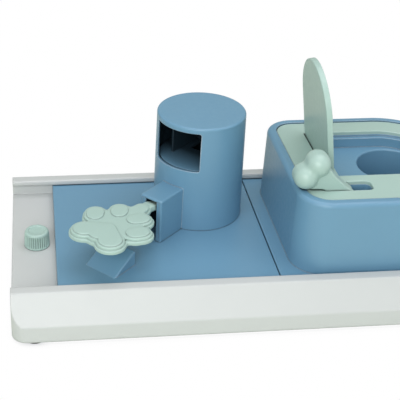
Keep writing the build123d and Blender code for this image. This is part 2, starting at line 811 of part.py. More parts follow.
with BuildPart() as treat_tray:
    with BuildSketch(Plane.XY.offset(flange_bottom)):
        add(box_outline(cover_inset))
    extrude(amount=flange_thickness)
    with BuildSketch(Plane.XY.offset(basin_floor - insert_wall)):
        add(opening_outline(-pin_wall, opening_left - pin_wall))
        with Locations((hinge_x, (slot_y + opening_centre_y) / 2)):
            Rectangle(
                hinge_boss_diameter + 2 * (hinge_gap + insert_wall),
                opening_centre_y - slot_y,
            )
    extrude(amount=cover_bottom - basin_floor + insert_wall)
    with BuildSketch(Plane.XY.offset(pocket_floor - insert_wall)):
        add(slot_outline(pin_wall))
    extrude(amount=cover_bottom - pocket_floor + insert_wall)
    with BuildSketch(Plane.XY.offset(basin_floor)):
        with Locations((cup_x, opening_centre_y)):
            Circle(cup_diameter / 2 + insert_wall)
    extrude(amount=-cup_depth - insert_wall)
    with BuildSketch(Plane.XY.offset(lid_ledge_z)):
        add(opening_outline(0))
    extrude(amount=cover_bottom - lid_ledge_z, mode=Mode.SUBTRACT)
    # Basin inside the ledge, with a well as wide as the lid at the hinge.
    with BuildSketch(Plane.XY.offset(basin_floor)):
        add(opening_outline(lid_ledge_width))
        with Locations((opening_left + hinge_well_length / 2, opening_centre_y)):
            Rectangle(hinge_well_length, 2 * opening_half_width)
    extrude(amount=cover_bottom - basin_floor, mode=Mode.SUBTRACT)
    with BuildSketch(Plane.XY.offset(basin_floor)):
        with Locations((cup_x, opening_centre_y)):
            Circle(cup_diameter / 2)
    extrude(amount=-cup_depth, mode=Mode.SUBTRACT)
    cup_edges = treat_tray.edges().filter_by(GeomType.CIRCLE).filter_by(
        lambda edge: abs(edge.radius - cup_diameter / 2) < cup_edge_radius / 10
    )
    fillet(cup_edges.group_by(Axis.Z)[0], cup_foot_radius)
    fillet(cup_edges.group_by(Axis.Z)[-1], cup_edge_radius)
    with BuildSketch(Plane.XY.offset(pocket_floor)):
        add(slot_outline(0))
    extrude(amount=cover_bottom - pocket_floor, mode=Mode.SUBTRACT)
    # Channel for the hinge barrel, from the well to the slot.
    with BuildSketch(Plane.XY.offset(basin_floor)):
        with Locations((hinge_x, (slot_y + opening_centre_y) / 2)):
            Rectangle(hinge_boss_diameter + 2 * hinge_gap, opening_centre_y - slot_y)
    extrude(amount=cover_bottom - basin_floor, mode=Mode.SUBTRACT)
    with BuildSketch(Plane.XZ.offset(-opening_centre_y)):
        with Locations((hinge_x, hinge_z)):
            Circle(hinge_pin_diameter / 2 + running_gap)
    extrude(amount=opening_half_width + pin_wall, both=True, mode=Mode.SUBTRACT)
    with BuildSketch(Plane.XZ.offset(-slot_y)):
        with Locations((hinge_x, hinge_z)):
            Circle(hinge_pin_diameter / 2 + running_gap)
    extrude(amount=slot_width / 2 + pin_wall, mode=Mode.SUBTRACT)
    with BuildSketch(Plane.XY.offset(cover_bottom)):
        with Locations(*cover_screw_places):
            Circle(screw_diameter / 2 + running_gap)
    extrude(amount=-flange_thickness, mode=Mode.SUBTRACT)
save(treat_tray, "treat_tray")

with BuildPart() as ring_cover:
    with BuildSketch(Plane.XY.offset(cover_bottom)):
        add(box_outline(cover_inset))
        add(opening_outline(0), mode=Mode.SUBTRACT)
        add(slot_outline(0), mode=Mode.SUBTRACT)
    extrude(amount=cover_thickness)
    fillet(ring_cover.faces().sort_by(Axis.Z)[-1].edges(), cover_edge_radius)
    with BuildSketch(Plane.XY.offset(cover_bottom)):
        with Locations(*cover_screw_places):
            Circle(screw_diameter / 2 + running_gap)
    extrude(amount=cover_thickness - cover_edge_radius, mode=Mode.SUBTRACT)
save(ring_cover, "ring_cover")

with BuildPart() as cover_screws:
    with BuildSketch(Plane.XY.offset(flange_bottom - ledge_thickness)):
        with Locations(*cover_screw_places):
            Circle(screw_head_diameter / 2)
    extrude(amount=-screw_head_height)
    with BuildSketch(Plane.XY.offset(flange_bottom - ledge_thickness)):
        with Locations(*cover_screw_places):
            Circle(screw_diameter / 2)
    extrude(amount=ledge_thickness + flange_thickness + cover_thickness - cover_edge_radius - rest_gap)
save(cover_screws, "cover_screws")

# ---- lid with its bone lever ----------------------------------------------
# The flap is drawn closed and turned back about the hinge, to stand open.
with BuildPart() as flap:
    with BuildSketch(Plane.XY.offset(lid_bottom)):
        add(opening_outline(lid_gap, hinge_x - lid_heel))
    extrude(amount=lid_thickness)
    fillet(flap.faces().sort_by(Axis.Z)[-1].edges(), lid_edge_radius)

lobe_bottom = box_top + lobe_gap
lower_lobe = (hinge_x - lower_lobe_back, lobe_bottom + lobe_radius)
upper_lobe = (hinge_x - upper_lobe_back, box_top + upper_lobe_rise)
lever_shoulder = (hinge_x - lever_shoulder_back, box_top + lever_shoulder_rise)
lever_heel = (slot_left + lever_width / 2, lobe_bottom)
lever_root = (hinge_x + lever_root_reach, hinge_z)
barrel_back = opening_centre_y + opening_half_width - lid_gap

# Bar from the bone down to the hinge: its heel clears the cover and dives into the slot.
with BuildPart() as lever_bar:
    with BuildSketch(Plane.XZ.offset(-slot_y)) as bar_side:
        with BuildLine():
            ThreePointArc(upper_lobe, lever_shoulder, lever_root)
            Polyline(
                lever_root,
                (hinge_x - hinge_boss_diameter / 2, hinge_z),
                lever_heel,
                (lower_lobe[0] + lobe_radius / 2, lobe_bottom + lever_bar_gap),
                upper_lobe,
            )
        make_face()
        fillet(bar_side.vertices().sort_by_distance(lever_heel)[0], lever_heel_radius)
    extrude(amount=lever_width / 2, both=True)
    fillet(lever_bar.faces().filter_by(Axis.Y).edges(), lever_edge_radius)

with BuildPart() as lid_lever:
    add(lever_bar.part)
    # The bone's two lobes lie across the lever, with a ball at each end.
    for lobe_x, lobe_z in (upper_lobe, lower_lobe):
        with BuildSketch(Plane.XZ.offset(-slot_y)):
            with Locations((lobe_x, lobe_z)):
                Circle(lobe_radius)
        extrude(amount=lobe_length / 2, both=True)
        with Locations(
            (lobe_x, slot_y - lobe_length / 2, lobe_z), (lobe_x, slot_y + lobe_length / 2, lobe_z)
        ):
            Sphere(lobe_radius)
    with BuildSketch(Plane.XZ.offset(-barrel_back)):
        with Locations((hinge_x, hinge_z)):
            Circle(hinge_boss_diameter / 2)
    extrude(amount=barrel_back - lever_front)
    add(flap.part.rotate(hinge_axis, -lid_open_angle))
    with BuildSketch(Plane.XZ.offset(-barrel_back)):
        with Locations((hinge_x, hinge_z)):
            Circle(hinge_pin_diameter / 2 + running_gap)
    extrude(amount=barrel_back - lever_front, mode=Mode.SUBTRACT)
save(lid_lever, "lid_lever")

with BuildPart() as hinge_pin:
    with BuildSketch(Plane.XZ.offset(-opening_centre_y - opening_half_width - pin_wall)):
        with Locations((hinge_x, hinge_z)):
            Circle(hinge_pin_diameter / 2)
    extrude(amount=opening_centre_y + opening_half_width + 2 * pin_wall + slot_width / 2 - slot_y)
save(hinge_pin, "hinge_pin")
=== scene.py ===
import math

import bpy
import numpy as np
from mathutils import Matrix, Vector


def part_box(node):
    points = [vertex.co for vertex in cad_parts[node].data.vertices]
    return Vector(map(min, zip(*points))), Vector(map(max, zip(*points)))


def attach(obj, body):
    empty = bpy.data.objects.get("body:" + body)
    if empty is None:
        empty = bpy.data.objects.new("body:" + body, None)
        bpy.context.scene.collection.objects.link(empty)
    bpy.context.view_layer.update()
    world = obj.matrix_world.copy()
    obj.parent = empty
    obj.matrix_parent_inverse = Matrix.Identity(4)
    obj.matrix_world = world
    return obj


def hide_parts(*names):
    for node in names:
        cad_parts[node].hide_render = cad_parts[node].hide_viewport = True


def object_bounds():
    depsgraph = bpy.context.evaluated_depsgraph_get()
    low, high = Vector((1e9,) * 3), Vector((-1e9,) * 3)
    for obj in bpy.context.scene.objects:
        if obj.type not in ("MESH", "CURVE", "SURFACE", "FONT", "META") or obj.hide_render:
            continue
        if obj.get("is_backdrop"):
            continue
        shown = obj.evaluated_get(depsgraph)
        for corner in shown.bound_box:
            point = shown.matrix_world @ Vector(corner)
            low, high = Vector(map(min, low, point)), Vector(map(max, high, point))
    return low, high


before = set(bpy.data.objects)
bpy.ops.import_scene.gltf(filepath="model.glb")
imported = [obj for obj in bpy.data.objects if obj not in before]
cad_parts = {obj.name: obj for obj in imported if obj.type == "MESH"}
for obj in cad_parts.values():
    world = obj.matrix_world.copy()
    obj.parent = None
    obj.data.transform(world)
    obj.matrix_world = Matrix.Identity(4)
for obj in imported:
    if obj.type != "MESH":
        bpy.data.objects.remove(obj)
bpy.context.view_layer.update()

# ---- camera -----------------------------------------------------------------
# A long lens stands in front of the toy, a little to its left and above it, and looks down
# over the front rail. The lens is shifted so that the tower end fills the frame.
frame_pixels, focal_pixels, axis_pixel = 400, 959.7, (136.3, 167.4)
camera_place = (-0.1985, -0.7342, 0.5018)
camera_yaw, camera_pitch, camera_roll = np.radians([6.4, 28.6, -1.2])
camera_data = bpy.data.cameras.new("camera")
camera_data.sensor_width = 36.0
camera_data.lens = focal_pixels / frame_pixels * camera_data.sensor_width
camera_data.shift_x = (frame_pixels / 2 - axis_pixel[0]) / frame_pixels
camera_data.shift_y = (axis_pixel[1] - frame_pixels / 2) / frame_pixels
camera_data.clip_start, camera_data.clip_end = 0.05, 20.0
forward = np.array([
    math.sin(camera_yaw) * math.cos(camera_pitch),
    math.cos(camera_yaw) * math.cos(camera_pitch),
    -math.sin(camera_pitch),
])
level_right = np.array([math.cos(camera_yaw), -math.sin(camera_yaw), 0.0])
level_down = np.cross(forward, level_right)
camera_matrix = np.eye(4)
camera_matrix[:3, 0] = math.cos(camera_roll) * level_right + math.sin(camera_roll) * level_down
camera_matrix[:3, 1] = math.sin(camera_roll) * level_right - math.cos(camera_roll) * level_down
camera_matrix[:3, 2] = -forward
camera_matrix[:3, 3] = camera_place
camera = bpy.data.objects.new("camera", camera_data)
camera.matrix_world = camera_matrix.T.tolist()
bpy.context.scene.collection.objects.link(camera)
bpy.context.scene.camera = camera
bpy.context.scene.view_settings.view_transform = "Standard"


# ---- studio -----------------------------------------------------------------
# A white sweep of card under and behind the toy, lit by a big soft box above and one each at
# the left, the front and the right. The world adds a low even light.
def surface(name, points):
    """Smooth quads over a grid of points: the corner at row i and column j is points[i, j]."""
    rows, columns = points.shape[:2]
    number = np.arange(rows * columns).reshape(rows, columns)
    quads = np.stack([number[:-1, :-1], number[1:, :-1], number[1:, 1:], number[:-1, 1:]], -1).reshape(-1, 4)
    mesh = bpy.data.meshes.new(name)
    mesh.from_pydata(points.reshape(-1, 3), [], quads)
    mesh.polygons.foreach_set("use_smooth", np.full(len(quads), True))
    made = bpy.data.objects.new(name, mesh)
    bpy.context.scene.collection.objects.link(made)
    return made


# The sweep runs level to the back, turns up through a quarter circle and ends in an upright wall.
floor_reach, sweep_radius, sweep_start, wall_top = 3.0, 0.8, 1.6, 2.5
wall_place = sweep_start + sweep_radius
turn = np.linspace(0, math.pi / 2, 17)
sweep_x = np.linspace(-floor_reach, floor_reach, 3)[:, None]
sweep_y = np.concatenate([[-floor_reach], sweep_start + sweep_radius * np.sin(turn), [wall_place]])
sweep_z = np.concatenate([[0.0], sweep_radius * (1 - np.cos(turn)), [wall_top]])
studio_sweep = surface("studio_sweep", np.stack(np.broadcast_arrays(sweep_x, sweep_y, sweep_z), -1))
studio_sweep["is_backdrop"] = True


def material(name):
    """A new material that has no nodes yet, and its maker of nodes."""
    made = bpy.data.materials.new(name)
    made.use_nodes = True
    tree = made.node_tree
    tree.nodes.clear()

    def node(kind, inputs=(), **settings):
        """A node of a kind, with its settings, and each input wired to a socket or set to a value."""
        new = tree.nodes.new("ShaderNode" + kind)
        for key, value in settings.items():
            setattr(new, key, value)
        for socket, value in dict(inputs).items():
            if isinstance(value, bpy.types.NodeSocket):
                tree.links.new(value, new.inputs[socket])
            else:
                new.inputs[socket].default_value = value
        return new

    return made, node


# The card looks white to the camera, with a soft shade close round the toy, and is plain pale
# card to all other light.
shade_reach = 0.012
card, node = material("studio_card")
card_shader = node("BsdfPrincipled", {"Base Color": (0.7, 0.75, 0.64, 1), "Roughness": 0.9})
card_near = node("AmbientOcclusion", {"Distance": shade_reach}, samples=16)
card_shade = node("ValToRGB", {"Fac": card_near.outputs["AO"]})
shade_dark, shade_clear = card_shade.color_ramp.elements
shade_dark.position, shade_dark.color = 0.2, (0.7, 0.71, 0.72, 1)
shade_clear.position, shade_clear.color = 0.7, (1, 1, 1, 1)
card_white = node("Emission", {"Color": card_shade.outputs["Color"], "Strength": 1.0})
card_seen = node("LightPath").outputs["Is Camera Ray"]
card_mix = node("MixShader", {0: card_seen, 1: card_shader.outputs[0], 2: card_white.outputs[0]})
node("OutputMaterial", {"Surface": card_mix.outputs[0]})
studio_sweep.data.materials.append(card)


def soft_box(name, place, size, power, tint=(1.0, 1.0, 1.0), aim=(0.0, 0.0, 0.05)):
    """Square area lamp at a place, turned towards the point it is aimed at, the toy's middle."""
    data = bpy.data.lights.new(name, "AREA")
    data.shape = "SQUARE"
    data.size = size
    data.energy = power
    data.color = tint
    lamp = bpy.data.objects.new(name, data)
    bpy.context.scene.collection.objects.link(lamp)
    back = np.subtract(place, aim)
    back /= np.linalg.norm(back)
    side = np.cross((0.0, 1.0, 0.0), back)
    side /= np.linalg.norm(side)
    matrix = np.eye(4)
    matrix[:3] = np.stack([side, np.cross(back, side), back, place], -1)
    lamp.matrix_world = matrix.T.tolist()


soft_box("soft_box_top", (0.15, 0.05, 1.5), size=1.3, power=12.5, tint=(1.0, 0.975, 1.0))
soft_box("soft_box_left", (-1.15, -1.2, 1.0), size=0.9, power=7.5)
soft_box("soft_box_front", (-0.4, -1.55, 0.95), size=1.0, power=15.5)
soft_box("soft_box_right", (1.4, -0.9, 0.8), size=1.0, power=3.5)
world_level = 0.45
world = bpy.data.worlds.new("studio")
world.use_nodes = True
world_tree = world.node_tree
world_back = world_tree.nodes["Background"]
world_back.inputs["Color"].default_value = (1, 1, 1, 1)
world_path = world_tree.nodes.new("ShaderNodeLightPath")
world_strength = world_tree.nodes.new("ShaderNodeMath")
world_strength.operation = "MAXIMUM"
world_strength.inputs[1].default_value = world_level
world_tree.links.new(world_path.outputs["Is Camera Ray"], world_strength.inputs[0])
world_tree.links.new(world_strength.outputs[0], world_back.inputs["Strength"])
bpy.context.scene.world = world


# ---- base tray --------------------------------------------------------------
# One long white moulding with a sloped rail on each side, satin polypropylene with a fine
# grain. The modules slide in the groove under the rails' lips.
def moulded(name, colour, roughness, mottle, edge, grain=0.00012, soft=0.0012, corner_shade_reach=0.002, inside=None):
    """Satin injection-moulded plastic: faint mottling, a fine spark-eroded grain, and paler edges that are
    partly wear and partly a painted highlight.

    Mottle is the share by which clouds darken the colour, and edge how far edges turn towards white, partly
    as wear and partly as a painted highlight.
    Grain is the bump's depth, soft the radius of shaded edges and corner_shade_reach the reach of the painted
    shade in corners, creases and contacts, all in metres. Inside makes a mask of the inner walls that get a
    painted shade.
    """
    pale_share, inner_shade_share, rubbed_gloss, speck_share = 0.6, 0.09, -0.08, 0.7
    base = np.array(colour)
    dark = (*(base * (1 - mottle)), 1)
    pale = (*(base * (1 + mottle * pale_share)), 1)
    # Edges turn paler partly from wear and partly as a painted highlight.
    rubbed_and_highlight = (*(base + (1 - base) * edge), 1)
    # The inner walls get a painted shade: a small share of the colour.
    inner_shade_tone = (*(base * inner_shade_share), 1)
    made, node = material(name)
    place = node("TexCoord").outputs["Object"]
    cloud = node("TexNoise", {"Vector": place, "Scale": 38.0, "Detail": 4.0, "Roughness": 0.55})
    speck = node("TexNoise", {"Vector": place, "Scale": 1900.0, "Detail": 2.0, "Roughness": 0.5})
    ripple = node("TexNoise", {"Vector": place, "Scale": 240.0, "Detail": 3.0, "Roughness": 0.6})
    scuff = node("TexNoise", {"Vector": place, "Scale": 95.0, "Detail": 6.0, "Roughness": 0.7})
    # The paler edges, partly wear and partly a painted highlight, are where the rounded normal leans away
    # from the flat one, in scuffed patches.
    round_edge = node("Bevel", {"Radius": soft}, samples=6)
    flat = node("NewGeometry").outputs["Normal"]
    lean = node("VectorMath", {0: round_edge.outputs["Normal"], 1: flat}, operation="DOT_PRODUCT")
    edge_mask = node("MapRange", {"Value": lean.outputs["Value"], "From Min": 0.995, "From Max": 0.9})
    patches = node("MapRange", {"Value": scuff.outputs["Fac"], "From Min": 0.3, "From Max": 0.7,
                                "To Min": 0.35})
    wear_and_highlight = node("Math", {0: edge_mask.outputs["Result"], 1: patches.outputs["Result"]}, operation="MULTIPLY")
    tone = node("Mix", {"Factor": cloud.outputs["Fac"], "A": dark, "B": pale}, data_type="RGBA")
    tone = node("Mix", {"Factor": wear_and_highlight.outputs[0], "A": tone.outputs["Result"], "B": rubbed_and_highlight},
                data_type="RGBA")
    # Painted shade on the inner walls that the inside mask picks out.
    if inside:
        walls = inside(node, place)
        tone = node("Mix", {"Factor": walls, "A": tone.outputs["Result"], "B": inner_shade_tone}, data_type="RGBA")
    # Painted shade: corners, creases and contacts between pieces darken by ambient occlusion within the
    # reach.
    near = node("AmbientOcclusion", {"Distance": corner_shade_reach}, samples=8)
    painted_corner_shade = node("MapRange", {"Value": near.outputs["AO"], "From Min": 0.25, "From Max": 0.8, "To Min": 0.2})
    tone = node("Mix", {"Factor": 1.0, "A": tone.outputs["Result"], "B": painted_corner_shade.outputs["Result"]},
                data_type="RGBA", blend_type="MULTIPLY")
    gloss = node("MapRange", {"Value": ripple.outputs["Fac"], "From Min": 0.3, "From Max": 0.7,
                              "To Min": roughness - 0.05, "To Max": roughness + 0.06})
    worn_gloss = node("Math", {0: wear_and_highlight.outputs[0], 1: rubbed_gloss, 2: gloss.outputs["Result"]},
                      operation="MULTIPLY_ADD")
    height = node("Math", {0: speck.outputs["Fac"], 1: speck_share, 2: ripple.outputs["Fac"]},
                  operation="MULTIPLY_ADD")
    bump = node("Bump", {"Strength": 0.25, "Distance": grain, "Height": height.outputs[0],
                         "Normal": round_edge.outputs["Normal"]})
    shader = node("BsdfPrincipled", {"Base Color": tone.outputs["Result"], "Roughness": worn_gloss.outputs[0],
                                     "Normal": bump.outputs["Normal"], "IOR": 1.49})
    node("OutputMaterial", {"Surface": shader.outputs[0]})
    return made


def finish_node(name, made):
    """Give a piece of the frame its finished material."""
    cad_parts[name].data.materials[0] = made


white_plastic = moulded("white_plastic", (0.49, 0.515, 0.51), roughness=0.42, mottle=0.02, edge=0.12,
                        soft=0.0024, corner_shade_reach=0.0008)
finish_node("base_tray", white_plastic)

# ---- rubber feet ------------------------------------------------------------
# Four black thermoplastic rubber plugs. Their stems are pushed into bosses under the tray's
# corners, and the wide flanges carry it.
rubber = moulded("foot_rubber", (0.012, 0.012, 0.013), roughness=0.75, mottle=0.2, edge=0.06, grain=0.0003)


def stacked(name, *bodies, crease=math.radians(32)):
    """Closed mesh of one or more bodies in millimetres, each a stack of rings[i, j].

    Quads join each ring to the next, and a fan round its mean point closes the first ring and the last.
    """
    points, faces, start = [], [], 0
    for rings in bodies:
        rows, columns = rings.shape[:2]
        number = start + np.arange(rows * columns).reshape(rows, columns)
        ahead = np.roll(number, -1, axis=1)
        low, high = start + rows * columns, start + rows * columns + 1
        sides = np.stack([number[:-1], ahead[:-1], ahead[1:], number[1:]], -1).reshape(-1, 4)
        foot = np.stack([ahead[0], number[0], np.full(columns, low)], -1)
        head = np.stack([number[-1], ahead[-1], np.full(columns, high)], -1)
        points += [rings.reshape(-1, 3), rings[0].mean(0)[None], rings[-1].mean(0)[None]]
        faces += sides.tolist() + foot.tolist() + head.tolist()
        start = high + 1
    mesh = bpy.data.meshes.new(name)
    mesh.from_pydata(np.concatenate(points) / 1000, [], faces)
    mesh.polygons.foreach_set("use_smooth", np.full(len(faces), True))
    mesh.set_sharp_from_angle(angle=crease)
    made = bpy.data.objects.new(name, mesh)
    bpy.context.scene.collection.objects.link(made)
    return made


def turned(profile, centre, count=72):
    """Rings of a body turned about an upright axis: each (radius, height) of the profile makes one ring.

    At an angle t, x and y are the centre's plus the radius times the cosine and the sine of t.
    """
    radius, height = np.array(profile, float).T[:, :, None]
    turn = np.linspace(0, 2 * np.pi, count, endpoint=False)
    return np.stack([
        centre[0] + radius * np.cos(turn),
        centre[1] + radius * np.sin(turn),
        height + 0 * turn,
    ], -1)


foot_profile = [
    (2, 0), (8.6, 0), (9.3, 0.25), (9.7, 0.9), (9.7, 2.3), (9.4, 2.8), (8.9, 2.95), (3, 2.95), (3, 9.2),
    (2.6, 9.7),
]
for number in range(1, 5):
    low, high = 1000 * np.array(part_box(f"rubber_foot_{number}"))
    foot = stacked(f"foot_{number}", turned(foot_profile, (low + high) / 2))
    foot.data.materials.append(rubber)
    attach(foot, "tray")
    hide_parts(f"rubber_foot_{number}")

# ---- thumb knobs ------------------------------------------------------------
# Caps moulded in mint plastic, with flutes round the side and a dished top. Each is held by
# a steel bolt through the tray's floor, one at each end of the tray.
mint = (0.345, 0.485, 0.442)
knob_plastic = moulded("knob_plastic", mint, roughness=0.32, mottle=0.03, edge=0.32, grain=0.00006,
                       soft=0.0003, corner_shade_reach=0.0012)
flute_count, flute_depth, flute_power, knob_draft = 32, 1.1, 1.4, math.tan(math.radians(2.7))
# Each row is inwards from the drafted side, height above the knob's foot, share of the flutes' depth.
knob_profile = np.array([
    (8.3, 8.9, 0), (8.3, 0, 0), (0.35, 0, 0), (0.1, 0.1, 0), (0, 0.35, 0), (0, 1.2, 0), (0, 1.5, 0.3),
    (0, 1.9, 0.8), (0, 2.4, 1), (0, 10.8, 1), (0, 11.8, 0.85), (0, 12.7, 0.5), (0.12, 13.4, 0.2),
    (0.45, 14.1, 0.05), (0.95, 14.6, 0), (1.6, 14.9, 0), (2.3, 15, 0), (2.9, 14.95, 0), (3.2, 14.75, 0),
    (3.45, 14.3, 0), (3.9, 14.15, 0), (7, 14.1, 0),
])


def fluted(profile, centre, foot, radius, count=384):
    """Rings of a drafted cap: its radius, less each row's inward step, its height's draft and the groove.

    The groove at the angle t is the flutes' depth, times the row's share of it, times
    1 - |cos(flute_count * t / 2)|^flute_power.
    """
    inwards, height, share = profile.T[:, :, None]
    turn = np.linspace(0, 2 * np.pi, count, endpoint=False)
    groove = 1 - np.abs(np.cos(flute_count * turn / 2)) ** flute_power
    reach = radius - inwards - knob_draft * height - flute_depth * share * groove
    return np.stack([
        centre[0] + reach * np.cos(turn),
        centre[1] + reach * np.sin(turn),
        foot + height + 0 * turn,
    ], -1)


for side in ("left", "right"):
    low, high = 1000 * np.array(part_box(f"knob_{side}"))
    knob = stacked(f"knob_cap_{side}", fluted(knob_profile, (low + high) / 2, low[2], (high[0] - low[0]) / 2))
    knob.data.materials.append(knob_plastic)
    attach(knob, f"knob_{side}")
    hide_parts(f"knob_{side}")

# ---- steel hardware ---------------------------------------------------------
# Zinc-plated steel bolts, screws, axle, pin and spring, bright with fine drawn marks. They
# hold the mouldings together, and most of them are hidden inside.
steel, node = material("zinc_steel")
steel_place = node("TexCoord").outputs["Object"]
steel_grain = node("TexNoise", {"Vector": steel_place, "Scale": 900.0, "Detail": 4.0}).outputs["Fac"]
steel_cloud = node("TexNoise", {"Vector": steel_place, "Scale": 160.0, "Detail": 3.0}).outputs["Fac"]
steel_tone = node("Mix", {"Factor": steel_cloud, "A": (0.5, 0.51, 0.53, 1), "B": (0.66, 0.67, 0.68, 1)},
                  data_type="RGBA")
steel_gloss = node("MapRange", {"Value": steel_grain, "To Min": 0.22, "To Max": 0.42})
steel_bump = node("Bump", {"Strength": 0.15, "Distance": 0.00005, "Height": steel_grain})
steel_shader = node("BsdfPrincipled", {"Base Color": steel_tone.outputs["Result"], "Metallic": 1.0,
                                       "Roughness": steel_gloss.outputs["Result"],
                                       "Normal": steel_bump.outputs["Normal"]})
node("OutputMaterial", {"Surface": steel_shader.outputs[0]})
for name in ("knob_bolt_left", "knob_bolt_right", "tower_screws", "paw_screws", "cover_screws", "pedal_axle",
             "pedal_spring", "hinge_pin"):
    finish_node(name, steel)

# ---- tower module -----------------------------------------------------------
# Blue plate, round tower with its window and chute, and the hopper inside, all satin
# mouldings from one batch of polypropylene. Sizes are in millimetres.
blue = (0.128, 0.272, 0.395)
blue_plastic = moulded("blue_plastic", blue, roughness=0.36, mottle=0.03, edge=0.36)
finish_node("tower_plate", blue_plastic)
tower_x, tower_y, plate_top = -54.0, 36.0, 33.7
chute_reach, chute_wall, chute_inner, chute_top = 71.0, 2.3, 9.2, plate_top + 39.9
# The painted shade inside ends within the thickness of the walls. The throat is the chute's strip, which
# starts where x + y has fallen this far from the tower's axis.
hollow_radius, hollow_top = 38.6, 134.5
throat_half, throat_top, throat_start = 9.27, chute_top + 0.2, 20.0
# Above this height all of the hopper gets the painted shade. Its floor turns from painted shade to its plain
# colour between these two falls of x + y from the tower's axis.
floor_up, full_shade_fall, unshaded_fall = plate_top + 60.1, 6.0, 50.0


def tower_hollow(node, place):
    """1 within the tower's inner radius and below its top, or in the throat's strip, and 0 elsewhere: where
    the inside gets a painted shade.
    """
    parts = node("SeparateXYZ", {0: place}).outputs
    east = node("Math", {0: parts["X"], 1: -tower_x / 1000}, operation="ADD").outputs[0]
    north = node("Math", {0: parts["Y"], 1: -tower_y / 1000}, operation="ADD").outputs[0]
    flat = node("CombineXYZ", {0: east, 1: north}).outputs[0]
    radius = node("VectorMath", {0: flat}, operation="LENGTH").outputs["Value"]
    round_in = node("Math", {0: radius, 1: hollow_radius / 1000}, operation="LESS_THAN").outputs[0]
    round_top = node("Math", {0: parts["Z"], 1: hollow_top / 1000}, operation="LESS_THAN").outputs[0]
    tower = node("Math", {0: round_in, 1: round_top}, operation="MULTIPLY").outputs[0]
    sideways = node("Math", {0: east, 1: north}, operation="SUBTRACT").outputs[0]
    slant = node("Math", {0: sideways}, operation="ABSOLUTE").outputs[0]
    throat_side = throat_half / 1000 * math.sqrt(2)
    throat_in = node("Math", {0: slant, 1: throat_side}, operation="LESS_THAN").outputs[0]
    throat_low = node("Math", {0: parts["Z"], 1: throat_top / 1000}, operation="LESS_THAN").outputs[0]
    inwards = node("Math", {0: east, 1: north}, operation="ADD").outputs[0]
    throat_out = node("Math", {0: inwards, 1: -throat_start / 1000}, operation="LESS_THAN").outputs[0]
    low_out = node("Math", {0: throat_low, 1: throat_out}, operation="MULTIPLY").outputs[0]
    throat = node("Math", {0: throat_in, 1: low_out}, operation="MULTIPLY").outputs[0]
    return node("Math", {0: tower, 1: throat}, operation="MAXIMUM").outputs[0]


def above_floor(node, place):
    """1 on the hopper's walls and the back of its floor, fading evenly to 0 at the sill: where the hopper
    gets a painted shade.
    """
    parts = node("SeparateXYZ", {0: place}).outputs
    wall = node("Math", {0: parts["Z"], 1: floor_up / 1000}, operation="GREATER_THAN").outputs[0]
    depth = node("Math", {0: parts["X"], 1: parts["Y"]}, operation="ADD").outputs[0]
    back = node("MapRange", {"Value": depth, "From Min": (tower_x + tower_y - unshaded_fall) / 1000,
                             "From Max": (tower_x + tower_y - full_shade_fall) / 1000}).outputs["Result"]
    return node("Math", {0: wall, 1: back}, operation="MAXIMUM").outputs[0]


# The tower and the hopper get a painted shade on their inner walls, where little light reaches.
tower_plastic = moulded("tower_plastic", blue, roughness=0.36, mottle=0.03, edge=0.36, inside=tower_hollow)
hopper_plastic = moulded("hopper_plastic", blue, roughness=0.4, mottle=0.03, edge=0.08, inside=above_floor)
finish_node("treat_tower", tower_plastic)
finish_node("treat_hopper", hopper_plastic)


def diagonal(along, across, up):
    """Points on the tower's diagonal, along which the chute runs out, with across to the chute's right side.

    From the tower's axis, x is across less along and y is minus their sum, both over the square root of two.
    """
    along, across, up = np.broadcast_arrays(along, across, up)
    half = math.sqrt(0.5)
    return np.stack([tower_x + half * (across - along), tower_y - half * (across + along), up], -1)


def squared(half_a, half_b, power, count=48):
    """Closed outline between an ellipse and a rectangle: |a / half_a|^power + |b / half_b|^power = 1."""
    turn = np.linspace(0, 2 * np.pi, count, endpoint=False)
    cosine, sine = np.cos(turn), np.sin(turn)
    reach = (np.abs(cosine) ** power + np.abs(sine) ** power) ** (-1 / power)
    return half_a * reach * cosine, half_b * reach * sine


# The chute's front wall leaves a tall slot for the arm: a jamb stands on each side of it, a
# little behind the chute's front edges and let into its side walls and its roof.
slot_half, jamb_overlap, jamb_setback, jamb_squareness = 6.2, 0.4, 0.03, 8
plate_gap, roof_overlap = 0.1, 0.2
jamb_levels = np.array([plate_top + plate_gap, chute_top + roof_overlap])[:, None]
jambs = []
for way in (-1, 1):
    depth, width = squared(chute_wall / 2, (chute_inner + jamb_overlap - slot_half) / 2, jamb_squareness)
    middle = way * (chute_inner + jamb_overlap + slot_half) / 2
    jambs.append(diagonal(chute_reach - chute_wall / 2 - jamb_setback + depth, middle + width, jamb_levels))
chute_jambs = stacked("chute_jambs", *jambs)
chute_jambs.data.materials.append(blue_plastic)
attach(chute_jambs, "tower_module")

# ---- pedal with its paw -----------------------------------------------------
# Paw and arm moulded in mint plastic and screwed together from below. The arm turns on a
# steel axle in the tower. The paw has soft stepped edges and raised pads.
mint_plastic = moulded("mint_plastic", mint, roughness=0.34, mottle=0.03, edge=0.26, grain=0.00006,
                       soft=0.0005)
# Places on the paw are (along, across) from the tower's axis.
paw_foot, paw_middle = plate_top + 33.0, (121.0, 0.0)
toe_middles = np.array([[118.2, -23.4], [101.5, -10.4], [101.5, 10.6], [118.2, 23.6]])
toe_leans = math.radians(35) * np.array([1, 1, -1, -1])
toe_half_length, toe_half_width, toe_squareness = 10.1, 7.5, 2.25
heel_middle, heel_point, heel_lobe = (137.0, 0.0), (129.8, 0.0), (142.2, 14.0)
point_radius, lobe_radius = 7.3, 10.0
web_start, web_end, web_radius, web_blend = (132.0, 0.0), (140.3, 0.0), 8.2, 2.5
neck_start, neck_end, neck_start_radius, neck_end_radius = (104.0, 0.0), (84.0, 0.0), 6.5, 4.6
paw_blend = 5.0


